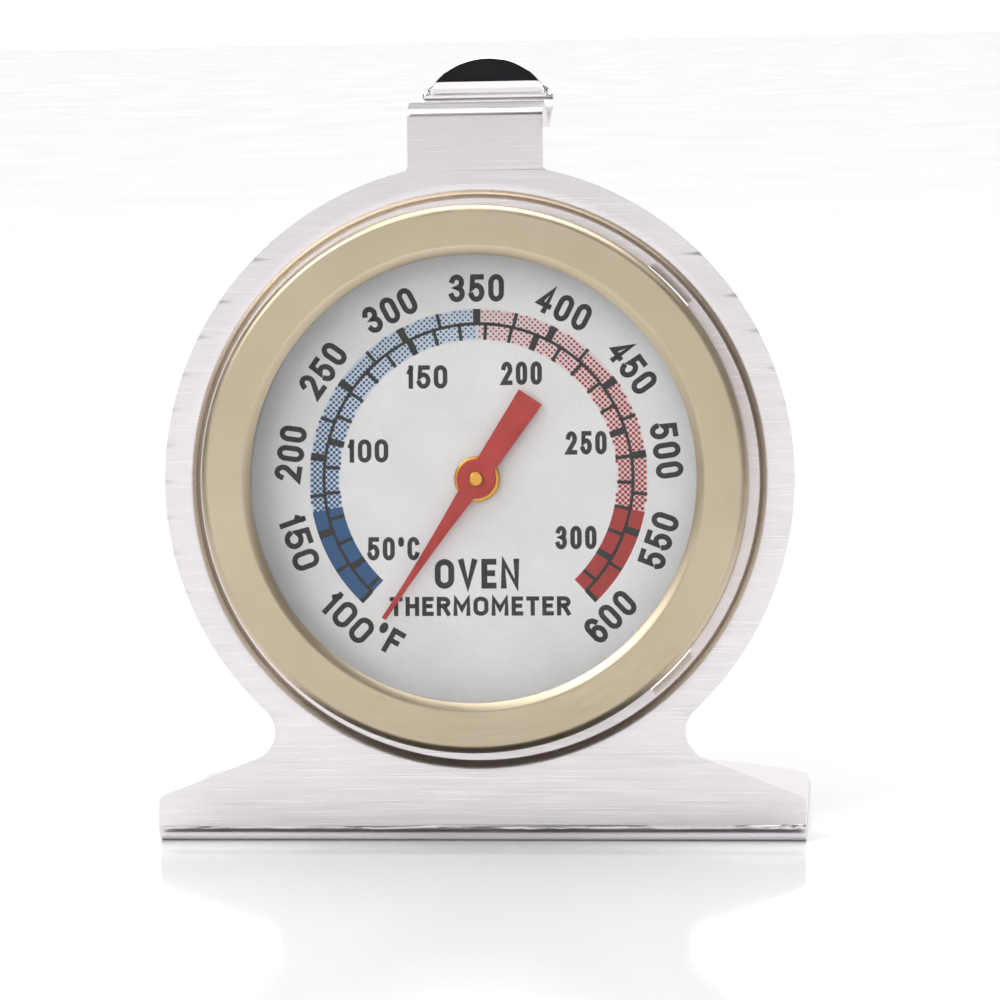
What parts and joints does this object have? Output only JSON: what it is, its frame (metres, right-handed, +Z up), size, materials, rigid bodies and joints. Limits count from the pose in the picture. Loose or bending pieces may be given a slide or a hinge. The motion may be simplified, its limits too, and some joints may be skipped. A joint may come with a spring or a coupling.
{
  "type": "oven thermometer",
  "caption": "Round dial thermometer for an oven, in a folded steel stand with a foot to stand on and a hook to hang from a rack; a bimetal coil turns the pointer.",
  "frame": {"origin": "centre of the flat underside of the foot, on the surface that the thermometer stands on", "axes": "+Z up, -Y out of the front towards the reader, +X to the reader's right"},
  "size_m": [0.061, 0.0414, 0.0726],
  "materials": {
    "stand_steel": "brushed stainless sheet, fine level grain",
    "ring_steel": "champagne tinted, satin face with a polished edge",
    "window_glass": "flat clear glass",
    "spacer_aluminium": "satin",
    "dial_face": "satin brushed face printed in ink",
    "cup_steel": "drawn stainless sheet",
    "bridge_steel": "stamped, mill finish",
    "rivet_steel": "plain turned",
    "brass": "turned, bright",
    "bimetal": "rolled strip, satin",
    "pointer_red": "satin red enamel on sheet"
  },
  "bodies": {
    "case": {"stand": "stand_steel", "bezel_ring": "ring_steel", "lens": "window_glass", "lens_spacer": "spacer_aluminium", "dial": "dial_face", "case_cup": "cup_steel", "bridge": "bridge_steel", "bridge_rivet_left": "rivet_steel", "bridge_rivet_right": "rivet_steel", "front_bearing": "brass", "rear_bearing": "brass", "bimetal_coil": "bimetal", "coil_stud": "brass", "coil_pin": "brass"},
    "pointer_shaft": {"pointer": "pointer_red", "pointer_boss": "brass", "arbor": "brass", "coil_collet": "brass", "front_washer": "rivet_steel", "rear_washer": "rivet_steel"}
  },
  "joints": [
    {"name": "pointer_turn", "type": "hinge", "parent": "case", "child": "pointer_shaft", "pos_m": [0, -0.01394, 0.03382], "axis": [0, 0.989, -0.1478], "range_deg": [-27.3, 282.6], "stiffness_Nm_per_rad": 0.00002, "deforming": ["bimetal_coil"]}
  ]
}
